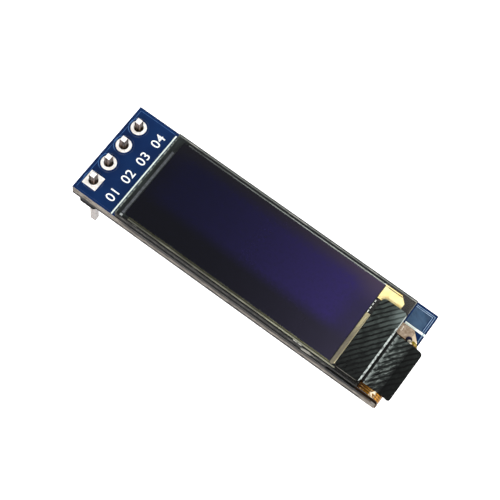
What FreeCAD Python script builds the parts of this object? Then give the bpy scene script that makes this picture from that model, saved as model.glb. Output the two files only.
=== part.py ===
import FreeCAD, Part
import math
import os
from FreeCAD import Vector

# A 0.91 inch, 128 by 32 dot OLED display module on a blue board, with its pin header.
# All sizes are in millimetres. +X runs from the header end to the flex end, +Y across the
# board towards pin 4, +Z up out of the display. The origin is the centre of the pin row on
# the underside of the header's plastic, where the module seats on its host board.

# Board
header_zone = 5.45
flex_zone = 2.55
near_margin = 0.05
far_margin = 0.40
board_thickness = 1.6
land_thickness = 0.05

# Pin row, its holes and their copper
pin_count = 4
pin_pitch = 2.54
row_from_end = 1.32
row_shift = -0.12
hole_play = 0.095
plating = 0.05
land_ring = 0.35
land_bevel = 0.03

# Pin header
header_width = 2.5
header_height = 2.5
header_notch = 0.42
pin_side = 0.64
pin_below = 6.0
pin_above = 3.2
pin_lower_taper = 0.2
pin_upper_taper = 0.06

# Display panel: layer thicknesses from the board up
panel_length = 30.0
panel_width = 11.05
adhesive_thickness = 0.15
rear_glass_thickness = 0.50
seal_thickness = 0.03
front_glass_thickness = 0.50
polarizer_thickness = 0.20
adhesive_inset = 0.6
ledge_length = 3.55
ledge_gap = 0.02
glass_chamfer = 0.04
seal_width = 1.0

# Recess in the rear glass and the drying sheet in it
recess_depth = 0.25
desiccant_thickness = 0.15
desiccant_inset = 0.5

# Organic pixel layer on the back of the front glass, inside the seal
pixel_inset_at_ends = 0.7
pixel_inset_at_sides = 1.3
pixel_thickness = 0.02

# Polarizer, set in from the glass edges
polarizer_from_header_side = 1.0
polarizer_from_near_side = 0.43
polarizer_from_far_side = 0.65
polarizer_to_ledge = 0.05

# Metal on the back of the front glass
metal_thickness = 0.02
bus_width = 0.14
far_bus_inset = 0.33
near_bus_inset = 0.21
bus_from_header_side = 1.45
near_bus_past_ledge = 0.75
end_bar_from_edge = 0.48
end_bar_width = 0.28
end_bar_from_far_side = 2.0
mark_from_near_side = 0.04
mark_length = 0.36
mark_gap = 0.12
pad_length = 2.58
pad_width = 1.74
pad_corner = 0.66
pad_slit_length = 1.8
pad_slit_width = 0.05
dash_count = 4
dash_length = 0.24
dash_pitch = 0.44
dash_width = 0.10
dash_to_pad = 0.30
fan_out_width = 0.50
fan_out_to_dashes = 0.08
fan_out_to_bus = 0.07
fan_out_line = 0.14
fan_out_corner = 0.24

# Driver chip under the ledge, between the seal and the cable
chip_width = 0.9
chip_height = 0.3
chip_to_cable = 0.5
chip_from_near_side = 1.1
chip_to_pad = 1.2

# Flexible cable: bonded under the ledge, folded round the board's end, soldered underneath
flex_thickness = 0.10
flex_bond = 1.10
flex_near_gap = 0.13
flex_edge_margin = 0.135
flex_end_gap = 0.08
upper_bend = 0.75
lower_bend = 0.20
flex_return = 3.3
ear_reach = 1.33
ear_length = 1.40
ear_hole_diameter = 0.70
ear_hole_from_glass = 1.50
ear_hole_from_tail = 0.18

# Black tape over the ledge and the cable
tape_thickness = 0.08
tape_from_ledge_root = 0.55
tape_near_gap = 0.35
tape_far_gap = 1.8
tape_head_corner = 0.5
tape_tail_near_inset = 0.72
tape_tail_far_inset = 0.15
tape_tail_corner = 0.35
tape_tail_past_board = 0.85
tape_edge_bend = 0.10
tape_foot_bend = 0.15
tape_drop_angle = 60
tape_flap_start = 0.55
tape_flap_bend = 2.5
tape_flap_angle = 40

# Solder lands of the cable
contact_count = 14
contact_pitch = 0.5
contact_width = 0.3
contact_length = 1.6
contact_past_cable = 0.7
contact_solder_length = 0.5
contact_solder_height = 0.14
contact_solder_rounding = 0.05

# Chip capacitors and resistors on the underside
chip_part_length = 1.6
chip_part_width = 0.8
end_metal_length = 0.3
end_metal_thickness = 0.02
end_metal_rounding = 0.04
capacitor_height = 0.8
resistor_height = 0.45
part_land_length = 0.8
part_land_width = 0.9
part_land_overlap = 0.4
fillet_height_share = 0.6
fillet_hollow_share = 0.32
row_to_cable = 3.3
capacitor_row_start = 12.2
capacitor_row_from_far_side = 2.6
capacitors_in_row = 6
resistor_row_start = 16.0
resistor_row_from_far_side = 6.3
resistor_count = 4
supply_capacitor_from_near_side = 2.2
supply_capacitor_from_far_side = 1.9

# Voltage regulator on the underside, on the board's middle line, and its supply capacitors
regulator_from_header_end = 9.0
regulator_length = 2.9
regulator_width = 1.3
regulator_height = 0.95
regulator_standoff = 0.08
regulator_slope = 0.12
lead_thickness = 0.12
lead_width = 0.40
lead_pitch = 1.9
lead_shelf = 0.15
lead_bend = 0.13
lead_foot = 0.30
lead_land_length = 0.9
lead_land_width = 0.6

# Two places this close are the same place
near_zero = 1e-6

# Levels, from the header's seat upwards
board_bottom = header_height + land_thickness
board_top = board_bottom + board_thickness
adhesive_top = board_top + adhesive_thickness
rear_glass_top = adhesive_top + rear_glass_thickness
glass_back = rear_glass_top + seal_thickness
glass_top = glass_back + front_glass_thickness
polarizer_top = glass_top + polarizer_thickness
lands_bottom = board_bottom - land_thickness

# Sizes that follow from others
hole_diameter = pin_side * math.sqrt(2) + hole_play
land_diameter = hole_diameter + 2 * land_ring
flex_width = (contact_count - 1) * contact_pitch + contact_width + 2 * flex_edge_margin

# Places in plan
board_length = header_zone + panel_length + flex_zone
board_width = near_margin + panel_width + far_margin
board_start = -row_from_end
board_end = board_start + board_length
board_near = -(board_width / 2 + row_shift)
board_far = board_near + board_width
panel_start = board_start + header_zone
panel_end = panel_start + panel_length
panel_near = board_near + near_margin
panel_far = panel_near + panel_width
ledge_root = panel_end - ledge_length
flex_near = board_near + flex_near_gap
flex_far = flex_near + flex_width
flex_start = panel_end - flex_bond
cable_end = board_end - flex_return
near_bus_low = panel_near + near_bus_inset
pad_far = panel_far - far_bus_inset
pad_low = pad_far - pad_width
pad_start = ledge_root + ledge_gap


def box(x0, x1, y0, y1, z0, z1):
    return Part.makeBox(x1 - x0, y1 - y0, z1 - z0, Vector(x0, y0, z0))


def pin_places():
    first = -(pin_count - 1) * pin_pitch / 2
    return [first + i * pin_pitch for i in range(pin_count)]


def upright_edges(shape):
    return [e for e in shape.Edges if 1 - abs(e.tangentAt(e.FirstParameter).z) < near_zero]


def rounded_box(x0, x1, y0, y1, z0, z1, radius):
    solid = box(x0, x1, y0, y1, z0, z1)
    return solid.makeFillet(radius, upright_edges(solid))


def plan_prism(points, z0, z1):
    corners = [Vector(x, y, z0) for x, y in points]
    outline = Part.makePolygon(corners + corners[:1])
    return Part.Face(outline).extrude(Vector(0, 0, z1 - z0))


def straight(length):
    return "straight", length, 0


def bend(radius, degrees):
    return "bend", radius, degrees


def side_edges(x, z, moves, side):
    """Edges of one side of a folded strip, at the distance side to the left of its middle line."""
    edges = []
    heading = 0.0
    for kind, size, degrees in moves:
        normal = Vector(-math.sin(heading), 0, math.cos(heading))
        place = Vector(x, 0, z)
        if kind == "straight":
            step = Vector(math.cos(heading), 0, math.sin(heading)) * size
            edges.append(Part.makeLine(place + normal * side, place + step + normal * side))
            x, z = x + step.x, z + step.z
            continue
        turn = math.radians(degrees)
        sign = math.copysign(1, turn)
        centre = place + normal * size * sign
        spoke = (normal * -sign) * (size - sign * side)
        ends = [centre + rotated(spoke, turn * share) for share in (0, 0.5, 1)]
        edges.append(Part.Arc(*ends).toShape())
        middle = centre + rotated(normal * -sign * size, turn)
        x, z = middle.x, middle.z
        heading += turn
    return edges


def rotated(vector, angle):
    """The vector turned in the XZ plane, from +X towards +Z."""
    across = vector.x * math.cos(angle) - vector.z * math.sin(angle)
    up = vector.x * math.sin(angle) + vector.z * math.cos(angle)
    return Vector(across, 0, up)


def start_of(edge):
    return edge.valueAt(edge.FirstParameter)


def end_of(edge):
    return edge.valueAt(edge.LastParameter)


def folded_strip(x, z, moves, thickness, y0, y1):
    """A sheet of one thickness, folded along its middle line, that starts at x, z and heads for +X."""
    upper = side_edges(x, z, moves, thickness / 2)
    lower = side_edges(x, z, moves, -thickness / 2)
    first = Part.makeLine(start_of(lower[0]), start_of(upper[0]))
    last = Part.makeLine(end_of(upper[-1]), end_of(lower[-1]))
    outline = Part.Wire(Part.__sortEdges__([first] + upper + [last] + lower))
    sheet = Part.Face(outline).extrude(Vector(0, y1 - y0, 0))
    sheet.translate(Vector(0, y0, 0))
    return sheet


def circuit_board():
    board = box(board_start, board_end, board_near, board_far, board_bottom, board_top)
    for y in pin_places():
        drill = Part.makeCylinder(hole_diameter / 2 + plating, board_thickness, Vector(0, y, board_bottom))
        board = board.cut(drill)
    return board


def level_edges(shape, z):
    level = [e for e in shape.Edges if e.BoundBox.ZLength < near_zero]
    return [e for e in level if abs(e.BoundBox.ZMin - z) < near_zero]


def land_disc(y, z):
    disc = Part.makeCylinder(land_diameter / 2, land_thickness, Vector(0, y, z))
    return disc.makeChamfer(land_bevel, level_edges(disc, z + land_thickness))


def land_square(y, z):
    half = land_diameter / 2
    plate = box(-half, half, y - half, y + half, z, z + land_thickness)
    return plate.makeChamfer(land_bevel, upright_edges(plate))


def plated_hole(number):
    """Copper barrel with a land at each end; pin 1 has square lands."""
    y = pin_places()[number - 1]
    land = land_square if number == 1 else land_disc
    barrel = Part.makeCylinder(hole_diameter / 2 + plating, board_thickness, Vector(0, y, board_bottom))
    upper = land(y, board_top)
    lower = land(y, board_top).mirror(Vector(0, y, (board_top + board_bottom) / 2), Vector(0, 0, 1))
    whole = barrel.multiFuse([upper, lower])
    bore_length = board_thickness + 2 * land_thickness
    return whole.cut(Part.makeCylinder(hole_diameter / 2, bore_length, Vector(0, y, lands_bottom)))


def header_body():
    """One moulded strip with a notch between positions and a square hole for each pin."""
    half = header_width / 2
    reach = pin_count * pin_pitch / 2
    body = box(-half, half, -reach, reach, 0, header_height)
    for i in range(pin_count + 1):
        y = i * pin_pitch - reach
        for side in (-1, 1):
            edge = side * half
            points = [(edge, y - header_notch), (edge - side * header_notch, y), (edge, y + header_notch)]
            body = body.cut(plan_prism(points, 0, header_height))
    for y in pin_places():
        body = body.cut(pin_bar(y, 0, header_height))
    return body


def pin_bar(y, z0, z1):
    half = pin_side / 2
    return box(-half, half, y - half, y + half, z0, z1)


def header_pin(number):
    top = header_height + pin_above
    pin = pin_bar(pin_places()[number - 1], -pin_below, top)
    for level, taper in ((-pin_below, pin_lower_taper), (top, pin_upper_taper)):
        pin = pin.makeChamfer(taper, level_edges(pin, level))
    return pin


def panel_adhesive():
    return box(panel_start + adhesive_inset, ledge_root - adhesive_inset, panel_near + adhesive_inset,
               panel_far - adhesive_inset, board_top, adhesive_top)


def glass_recess(inset, z0, z1):
    edge = seal_width + inset
    return box(panel_start + edge, ledge_root - edge, panel_near + edge, panel_far - edge, z0, z1)


def rear_glass():
    """Encapsulation glass with an etched recess, shorter than the front glass by the ledge."""
    plate = box(panel_start, ledge_root, panel_near, panel_far, adhesive_top, rear_glass_top)
    return plate.cut(glass_recess(0, rear_glass_top - recess_depth, rear_glass_top))


def desiccant_sheet():
    floor = rear_glass_top - recess_depth
    return glass_recess(desiccant_inset, floor, floor + desiccant_thickness)


def edge_seal():
    """Glued rim between the two glasses, with room for the metal that crosses it."""
    rim = box(panel_start, ledge_root, panel_near, panel_far, rear_glass_top, glass_back)
    rim = rim.cut(glass_recess(0, rear_glass_top, glass_back))
    return rim.cut(panel_metal()).cut(fan_out_traces())


def pixel_layer():
    start = panel_start + seal_width + pixel_inset_at_ends
    end = ledge_root - seal_width - pixel_inset_at_ends
    side = seal_width + pixel_inset_at_sides
    return box(start, end, panel_near + side, panel_far - side, glass_back - pixel_thickness, glass_back)


def front_glass():
    plate = box(panel_start, panel_end, panel_near, panel_far, glass_back, glass_top)
    return plate.makeChamfer(glass_chamfer, plate.Edges)


def polarizer():
    return box(panel_start + polarizer_from_header_side, ledge_root - polarizer_to_ledge,
               panel_near + polarizer_from_near_side, panel_far - polarizer_from_far_side,
               glass_top, polarizer_top)


def metal_film(x0, x1, y0, y1):
    return box(x0, x1, y0, y1, glass_back - metal_thickness, glass_back)


def contact_pad():
    end = pad_start + pad_length
    outline = [(pad_start, pad_low), (end, pad_low), (end, pad_far - pad_corner),
               (end - pad_corner, pad_far), (pad_start, pad_far)]
    pad = plan_prism(outline, glass_back - metal_thickness, glass_back)
    slit_far = pad_far - bus_width
    return pad.cut(metal_film(pad_start, pad_start + pad_slit_length, slit_far - pad_slit_width, slit_far))


def dash_places():
    last = pad_low - dash_to_pad
    return [last - i * dash_pitch for i in range(dash_count)]


def panel_metal():
    """Contact pad with the far bus line, near bus line, end bar, a mark and a row of test dashes."""
    start = panel_start + bus_from_header_side
    far_bus = metal_film(start, pad_start, pad_far - bus_width, pad_far)
    near_bus = metal_film(start, ledge_root + near_bus_past_ledge, near_bus_low, near_bus_low + bus_width)
    bar_start = panel_start + end_bar_from_edge
    mark_low = panel_near + mark_from_near_side
    bar_low = mark_low + mark_length + mark_gap
    bar = metal_film(bar_start, bar_start + end_bar_width, bar_low, panel_far - end_bar_from_far_side)
    mark = metal_film(bar_start, bar_start + end_bar_width, mark_low, mark_low + mark_length)
    dashes = [metal_film(pad_start, pad_start + dash_width, y - dash_length, y) for y in dash_places()]
    pad = contact_pad().fuse(far_bus).removeSplitter()
    return Part.makeCompound([pad, near_bus, bar, mark] + dashes)


def fan_out_traces():
    """Dense trace field beside the pixel area: a line along the near side that widens on the ledge."""
    start = panel_start + bus_from_header_side
    low = near_bus_low + bus_width + fan_out_to_bus
    line = metal_film(start, ledge_root, low, low + fan_out_line)
    end = ledge_root + fan_out_width
    far = dash_places()[-1] - dash_length - fan_out_to_dashes
    field = plan_prism([(ledge_root, low), (end - fan_out_corner, low), (end, low + fan_out_corner),
                        (end, far), (ledge_root, far)], glass_back - metal_thickness, glass_back)
    return line.fuse(field).removeSplitter()


def driver_chip():
    """Chip bonded to the traces on the ledge, its face down."""
    end = flex_start - chip_to_cable
    top = glass_back - metal_thickness
    return box(end - chip_width, end, panel_near + chip_from_near_side, pad_low - chip_to_pad,
               top - chip_height, top)


def flex_cable():
    """Cable from the ledge, round the board's end and back under the board, with its ear on top."""
    level = glass_back - metal_thickness - flex_thickness / 2
    fold = board_end + flex_end_gap + flex_thickness / 2
    under = lands_bottom - flex_thickness / 2
    top_moves = [straight(fold - upper_bend - flex_start), bend(upper_bend, -90)]
    drop = (level - upper_bend) - (under + lower_bend)
    back = fold - lower_bend - cable_end
    moves = top_moves + [straight(drop), bend(lower_bend, -90), straight(back)]
    tail = folded_strip(flex_start, level, moves, flex_thickness, flex_near, flex_far)
    ear_far = flex_far + ear_reach
    ear = folded_strip(flex_start, level, top_moves, flex_thickness, flex_far, ear_far)
    slope_start = panel_end + ear_length
    beyond = slope_start + 2 * ear_reach
    above = ear_far + ear_reach
    waste = plan_prism([(slope_start, ear_far), (slope_start + ear_reach, flex_far), (beyond, flex_far),
                        (beyond, above), (slope_start, above)], board_bottom, glass_top)
    cable = tail.fuse(ear.cut(waste)).removeSplitter()
    hole_place = Vector(panel_end + ear_hole_from_glass, flex_far + ear_hole_from_tail, board_top)
    return cable.cut(Part.makeCylinder(ear_hole_diameter / 2, glass_top - board_top, hole_place))


def shield_tape():
    """T-shaped tape: its head lies on the ledge, its tail steps down to the cable and overhangs it."""
    head_start = ledge_root + tape_from_ledge_root
    head_length = panel_end - head_start
    head_near = panel_near + tape_near_gap
    head_far = panel_far - tape_far_gap
    tail_end = board_end + tape_tail_past_board
    angle = math.radians(tape_drop_angle)
    bends = tape_edge_bend + tape_foot_bend
    drop = front_glass_thickness + metal_thickness
    slope = (drop - bends * (1 - math.cos(angle))) / math.sin(angle)
    foot = panel_end + bends * math.sin(angle) + slope * math.cos(angle)
    flap_start = board_end - tape_flap_start
    moves = [straight(head_length), bend(tape_edge_bend, -tape_drop_angle), straight(slope),
             bend(tape_foot_bend, tape_drop_angle), straight(flap_start - foot),
             bend(tape_flap_bend, -tape_flap_angle)]
    level = glass_top + tape_thickness / 2
    sheet = folded_strip(head_start, level, moves, tape_thickness, head_near, head_far)
    top = glass_top + tape_thickness
    head = rounded_box(head_start, panel_end, head_near, head_far, board_bottom, top, tape_head_corner)
    tail = rounded_box(panel_end - head_length / 2, tail_end, flex_near + tape_tail_near_inset,
                       flex_far - tape_tail_far_inset, board_bottom, top, tape_tail_corner)
    return sheet.common(head.fuse(tail)).removeSplitter()


def contact_places():
    middle = (flex_near + flex_far) / 2
    first = middle - (contact_count - 1) * contact_pitch / 2
    return [first + i * contact_pitch for i in range(contact_count)]


def cable_lands():
    """Copper lands of the board under the cable's end, one for each contact."""
    start = cable_end - contact_past_cable
    end = start + contact_length
    half = contact_width / 2
    lands = [box(start, end, y - half, y + half, lands_bottom, board_bottom) for y in contact_places()]
    return Part.makeCompound(lands)


def cable_solder():
    """A rounded bead of solder on each land, against the cable's cut end."""
    beads = []
    half = contact_width / 2
    for y in contact_places():
        bead = box(cable_end - contact_solder_length, cable_end, y - half, y + half,
                   lands_bottom - contact_solder_height, lands_bottom)
        beads.append(bead.makeFillet(contact_solder_rounding, level_edges(bead, bead.BoundBox.ZMin)))
    return Part.makeCompound(beads)


def part_row(start_from_header_end, count, from_far_side):
    """Middles of a row of parts, spread evenly between a start and the cable's lands."""
    start = board_start + start_from_header_end
    end = cable_end - contact_past_cable - row_to_cable
    step = (end - start) / (count - 1)
    return [(start + i * step, board_far - from_far_side) for i in range(count)]


def regulator_place():
    return board_start + regulator_from_header_end, (board_near + board_far) / 2


def capacitor_places():
    x = regulator_place()[0]
    near = board_near + supply_capacitor_from_near_side
    far = board_far - supply_capacitor_from_far_side
    row = part_row(capacitor_row_start, capacitors_in_row, capacitor_row_from_far_side)
    return [(x, near), (x, far)] + row


def resistor_places():
    return part_row(resistor_row_start, resistor_count, resistor_row_from_far_side)


def chip_part(place, height):
    """Ceramic block with metal round both ends, hanging under its lands."""
    x, y = place
    half_x = chip_part_length / 2
    half_y = chip_part_width / 2
    skin = end_metal_thickness
    block = box(x - half_x + skin, x + half_x - skin, y - half_y + skin, y + half_y - skin,
                lands_bottom - height + skin, lands_bottom - skin)
    ends = []
    for side in (-1, 1):
        outer = x + side * half_x
        inner = outer - side * end_metal_length
        low, high = sorted((outer, inner))
        end = box(low, high, y - half_y, y + half_y, lands_bottom - height, lands_bottom)
        rim = [e for e in end.Edges if abs(e.CenterOfMass.x - outer) < near_zero]
        ends.append(end.makeFillet(end_metal_rounding, rim))
    return block.multiFuse(ends)


def capacitor(number):
    return chip_part(capacitor_places()[number - 1], capacitor_height)


def resistor(number):
    return chip_part(resistor_places()[number - 1], resistor_height)


def part_ends(places):
    """For each chip part, the outer end face of each side and the way it points."""
    for x, y in places:
        for side in (-1, 1):
            yield x + side * chip_part_length / 2, y, side


def regulator_feet():
    """Middle of each foot and the way its lead points: one lead on one side, two on the other."""
    x, y = regulator_place()
    reach = regulator_width / 2 + lead_reach() - lead_foot / 2
    return [(x - reach, y, -1), (x + reach, y - lead_pitch / 2, 1), (x + reach, y + lead_pitch / 2, 1)]


def flat_land(x, y, length, width):
    return box(x - length / 2, x + length / 2, y - width / 2, y + width / 2, lands_bottom, board_bottom)


def component_lands():
    lands = []
    for x, y, side in part_ends(capacitor_places() + resistor_places()):
        middle = x + side * (part_land_length / 2 - part_land_overlap)
        lands.append(flat_land(middle, y, part_land_length, part_land_width))
    lands += [flat_land(x, y, lead_land_length, lead_land_width) for x, y, side in regulator_feet()]
    return Part.makeCompound(lands)


def solder_fillet(x, y, side, width, height):
    """Wedge of solder that climbs a metal end, with a hollow face."""
    reach = side * (part_land_length - part_land_overlap)
    foot = Vector(x + reach, y, lands_bottom)
    root = Vector(x, y, lands_bottom)
    crest = Vector(x, y, lands_bottom - height)
    hollow = Vector(x + reach * fillet_hollow_share, y, lands_bottom - height * fillet_hollow_share)
    wedge = Part.Face(Part.Wire([Part.makeLine(foot, root), Part.makeLine(root, crest),
                                 Part.Arc(crest, hollow, foot).toShape()]))
    wedge.translate(Vector(0, -width / 2, 0))
    return wedge.extrude(Vector(0, width, 0))


def solder_joints():
    beads = [solder_fillet(x, y, side, chip_part_width, capacitor_height * fillet_height_share)
             for x, y, side in part_ends(capacitor_places())]
    beads += [solder_fillet(x, y, side, chip_part_width, resistor_height * fillet_height_share)
              for x, y, side in part_ends(resistor_places())]
    return Part.makeCompound(beads)


def regulator_body():
    """Moulded block with sloping sides and its parting line at the leads."""
    x, y = regulator_place()
    top = lands_bottom - regulator_standoff
    middle = top - regulator_height / 2
    bottom = top - regulator_height
    sections = []
    for z, inset in ((top, regulator_slope), (middle, 0), (bottom, regulator_slope)):
        half_x = regulator_width / 2 - inset
        half_y = regulator_length / 2 - inset
        turns = ((-1, -1), (1, -1), (1, 1), (-1, 1))
        points = [Vector(x + side_x * half_x, y + side_y * half_y, z) for side_x, side_y in turns]
        sections.append(Part.makePolygon(points + points[:1]))
    halves = [Part.makeLoft(pair, True, True) for pair in (sections[:2], sections[1:])]
    return halves[0].fuse(halves[1])


def lead_reach():
    return lead_shelf + 2 * lead_bend + lead_foot


def lead(x, y, side):
    """Gull-wing lead from the body's parting line down to its land."""
    middle = regulator_place()[0]
    start = middle + regulator_width / 2
    level = lands_bottom - regulator_standoff - regulator_height / 2
    drop = lands_bottom - lead_thickness / 2 - level - 2 * lead_bend
    moves = [straight(lead_shelf), bend(lead_bend, 90), straight(drop), bend(lead_bend, -90),
             straight(lead_foot)]
    strip = folded_strip(start, level, moves, lead_thickness, y - lead_width / 2, y + lead_width / 2)
    if side < 0:
        strip = strip.mirror(Vector(middle, y, level), Vector(1, 0, 0))
    return strip


def regulator_leads():
    return Part.makeCompound([lead(x, y, side) for x, y, side in regulator_feet()])


def export(name, shape):
    shape.exportStep("parts/" + name + ".step")


def numbered(name, count, make):
    for number in range(1, count + 1):
        export(name + "_" + str(number), make(number))


def main():
    os.makedirs("parts", exist_ok=True)
    export("circuit_board", circuit_board())
    numbered("plated_hole", pin_count, plated_hole)
    export("header_body", header_body())
    numbered("header_pin", pin_count, header_pin)
    export("panel_adhesive", panel_adhesive())
    export("rear_glass", rear_glass())
    export("desiccant_sheet", desiccant_sheet())
    export("edge_seal", edge_seal())
    export("pixel_layer", pixel_layer())
    export("panel_metal", panel_metal())
    export("fan_out_traces", fan_out_traces())
    export("front_glass", front_glass())
    export("polarizer", polarizer())
    export("driver_chip", driver_chip())
    export("flex_cable", flex_cable())
    export("shield_tape", shield_tape())
    export("cable_lands", cable_lands())
    export("cable_solder", cable_solder())
    export("regulator_body", regulator_body())
    export("regulator_leads", regulator_leads())
    numbered("capacitor", len(capacitor_places()), capacitor)
    numbered("resistor", resistor_count, resistor)
    export("component_lands", component_lands())
    export("solder_joints", solder_joints())


main()
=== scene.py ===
import math

import bpy
from mathutils import Matrix, Vector, noise


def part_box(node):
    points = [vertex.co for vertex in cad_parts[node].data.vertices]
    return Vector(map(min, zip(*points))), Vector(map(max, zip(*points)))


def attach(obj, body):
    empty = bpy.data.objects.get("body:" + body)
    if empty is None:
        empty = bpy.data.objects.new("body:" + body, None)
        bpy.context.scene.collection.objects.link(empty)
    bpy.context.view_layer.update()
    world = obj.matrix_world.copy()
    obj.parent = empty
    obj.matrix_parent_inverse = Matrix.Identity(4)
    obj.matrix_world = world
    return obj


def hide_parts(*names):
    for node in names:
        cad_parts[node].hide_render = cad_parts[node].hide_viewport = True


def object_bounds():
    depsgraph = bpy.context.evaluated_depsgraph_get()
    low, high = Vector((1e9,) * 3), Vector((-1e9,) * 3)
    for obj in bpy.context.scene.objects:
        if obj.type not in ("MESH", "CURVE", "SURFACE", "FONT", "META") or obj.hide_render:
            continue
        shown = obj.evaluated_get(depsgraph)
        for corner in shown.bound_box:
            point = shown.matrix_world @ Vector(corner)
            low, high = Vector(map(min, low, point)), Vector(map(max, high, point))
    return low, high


# A 0.91 inch OLED display module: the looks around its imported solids.
# Lengths are in metres. +X runs from the header end to the flex end, +Z up out of the display.
mm = 0.001

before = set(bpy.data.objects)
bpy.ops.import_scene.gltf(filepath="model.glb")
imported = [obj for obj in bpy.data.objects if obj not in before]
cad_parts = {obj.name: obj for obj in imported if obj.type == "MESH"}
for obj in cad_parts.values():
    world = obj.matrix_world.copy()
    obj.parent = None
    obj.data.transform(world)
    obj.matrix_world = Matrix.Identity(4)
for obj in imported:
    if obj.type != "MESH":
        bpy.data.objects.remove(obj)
cad_box = [list(corner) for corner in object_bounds()]

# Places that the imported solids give
board_low, board_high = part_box("circuit_board")
glass_low, glass_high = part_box("front_glass")
rear_low, rear_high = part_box("rear_glass")
film_low, film_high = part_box("polarizer")
flex_low, flex_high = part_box("flex_cable")
metal_low, metal_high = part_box("panel_metal")
tape_low, tape_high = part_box("shield_tape")
land_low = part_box("cable_lands")[0]
pin_row = [sum(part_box("header_pin_%d" % n), Vector()) / 2 for n in range(1, 5)]

pin_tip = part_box("header_pin_1")[1].z
pin_cut = 0.03 * mm
bore_radius = 0.5 * mm

# Camera: where it stands, what it aims at and how far it is rolled about its line of sight
camera_place = Vector((39.7, -51.32, 146.83)) * mm
camera_aim = Vector((17.257, -0.074, 4.15)) * mm
camera_roll = 13.276
camera_lens = 108.22
camera_sensor = 36
camera_range = (0.005, 10)

# Lamps: name, place, width and height, power and tint
lamps = (
    ("key_softbox", (0.11, -0.30, 0.44), (0.24, 0.18), 2.7, (1, 1, 1)),
    ("side_softbox", (0.40, 0.19, 0.33), (0.20, 0.26), 1.3, (1, 0.98, 0.95)),
    ("left_softbox", (-0.38, -0.12, 0.22), (0.20, 0.20), 0.4, (1, 1, 1)),
    ("far_softbox", (-0.12, 0.42, 0.27), (0.26, 0.16), 0.8, (1, 1, 1)),
)
sky_tint = (0.95, 0.97, 1.0, 1)
sky_strength = 0.25

# Floor of the stage, and the wall it turns up into
floor_radius = 0.75
floor_segments = 96
wall_height = 0.42
floor_grey = 0.82
floor_glow = 0.72

# Cable's ear: how deep it is, its locating hole, and the ring and the row of flux beads on it, whose
# places along the row are in millimetres
ear_depth = 1.33 * mm
ear_hole = Vector((35.63, 1.75, 4.785)) * mm
ear_ring_radius = 0.41 * mm
ear_ring_wire = 0.02 * mm
flux_row = (0.0, 0.11, 0.23, 0.33, 0.45)
flux_from_glass = 0.28 * mm
flux_from_far_side = 0.35 * mm
flux_stagger = 0.05 * mm
flux_radius = 0.09 * mm
flux_form = (1, 0.8, 0.4)

# Painted shade on the board under the ear's hole, and a painted glint that shows through it
ear_shade_radius = 0.5 * mm
ear_glint = ear_hole + Vector((0.15, 0.07, 0)) * mm
ear_glint_radius = 0.22 * mm

# Row of dashes between the contact area and the trace field
dashes_low = metal_high.y - 3.7 * mm
dashes_high = metal_high.y - 1.85 * mm

# Underside: plated holes, and traces that each have a lane past the parts and an end by the cable.
# The holes' places, the lanes and the ends are in millimetres.
via_radius = 0.3 * mm
via_wire = 0.09 * mm
via_press = 0.25
via_drop = 0.004 * mm
via_places = ((4.6, 3.3), (5.2, -3.6), (10.4, 3.6), (12.6, -4.1), (20.2, 3.9), (24.6, -4.0), (27.4, 3.8),
              (30.2, 2.4), (31.0, 4.1), (34.9, 4.6), (3.4, 0.2))
trace_width = 0.25 * mm
trace_start = 1.1 * mm
trace_stop = 0.35 * mm
trace_last_leg = 0.4 * mm
trace_overlap = 0.8
trace_lanes = (-5.1, -4.75, 4.9, 5.25)
trace_ends = (-4.6, -3.9, 0.2, 0.9)
outline_gap = 0.28 * mm
outline_width = 0.14 * mm

# Printed marks on the board
print_height = 0.012 * mm
line_width = 0.155 * mm
line_to_glass = 0.37 * mm
number_height = 1.05 * mm
number_to_line = 0.51 * mm
number_weight = 0.004
number_spacing = 1.08
number_weld = 0.0001
edge_line_margin = 0.05 * mm
strip_start = 0.15 * mm
strip_width = 0.27 * mm
strip_from_far_side = 2.45 * mm

# Solder mask, and the copper that shows as relief under it
mask_skin = 0.03 * mm
relief_height = 0.014 * mm
border_width = 0.07 * mm
border_inset = 0.3 * mm
border_near_inset = 0.17 * mm
border_to_line = 0.1 * mm
ring_radius = 1.07 * mm
ring_width = 0.03 * mm
field_inset = 0.55 * mm
field_to_glass = 0.12 * mm
field_to_strip = 0.05 * mm

# The two lines round the copper field: how far past its right, far and near edges each runs
field_borders = ((0.1 * mm, 0.05 * mm, 0.0), (0.3 * mm, 0.22 * mm, 1.2 * mm))

# Chips on the near side of the glass, from its header end
side_chip = Vector((glass_low.x + 24.1 * mm, 0, rear_high.z - 0.1 * mm))
side_chip_size = Vector((0.8, 0, 0.42)) * mm
rim_chip = (glass_low.x + 22.3 * mm, glass_low.x + 23.3 * mm)

# Ground faces of the glass: where those of its near side end, rims on top with a painted highlight and skins
# at the sides
glass_near = glass_low.y + 0.1 * mm
rim_width = 0.06 * mm
left_rim_width = 0.15 * mm
far_rim_width = 0.22 * mm
far_rim_dark = 0.11 * mm
side_skin = 0.006 * mm
rim_height = 0.008 * mm
rim_to_tape = 0.1 * mm

# Black tape
tape_thickness = 0.08 * mm
tape_wall_share = 0.8
tape_slab = 0.4 * mm
tape_weld = 0.002 * mm
tape_step = 0.075 * mm
tape_corner = 0.5 * mm
tape_tail_corner = 0.35 * mm
tape_tail_near_inset = 0.72 * mm
tape_tail_far_inset = 0.15 * mm
tape_tail_extra = 0.07 * mm
ridge_pitch = 0.475 * mm
ridge_height = 0.017 * mm
ridge_angle = 53
ridge_wander = 0.12 * mm
ridge_wander_size = 1.3 * mm
ridge_strength = 0.65
ridge_strength_swing = 0.6
ridge_strength_size = 0.9 * mm
sag_height = 0.02 * mm
sag_size = 1.6 * mm
edge_bend = 0.20 * mm
foot_bend = 0.12 * mm
drop_angle = 72
crease_width = 0.17 * mm
crease_height = 0.04 * mm
crease_sharpness = 2.5
crease_stop = tape_high.y - 1.9 * mm
flap_start = 0.55 * mm
flap_bend = 2.5 * mm
flap_angle = 40
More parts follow.
